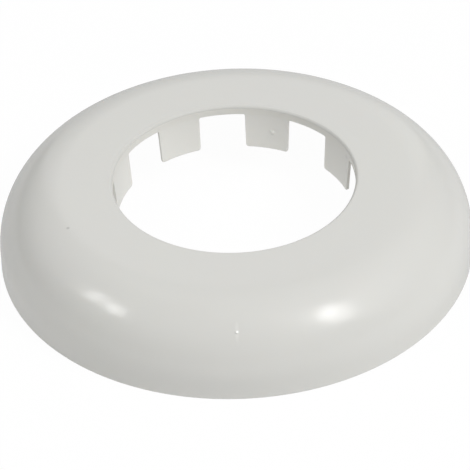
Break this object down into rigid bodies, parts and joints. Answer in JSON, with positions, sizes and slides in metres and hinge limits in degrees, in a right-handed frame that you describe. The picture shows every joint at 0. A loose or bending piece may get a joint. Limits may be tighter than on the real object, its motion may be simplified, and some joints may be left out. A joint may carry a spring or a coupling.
{
  "type": "pipe rosette",
  "caption": "Domed ring-shaped cover for the gap around a soil pipe, hollow underneath, with spring fingers inside the hole that grip the pipe.",
  "frame": {"origin": "centre of the base rim, on the pipe's axis, in the plane that lies on the wall", "axes": "+Z along the pipe, from the wall out through the hole; one finger is centred on +X"},
  "size_m": [0.22, 0.22, 0.0385],
  "materials": {
    "cover": "smooth glossy white moulding"
  },
  "bodies": {
    "root": {"rosette": "cover"}
  },
  "joints": []
}
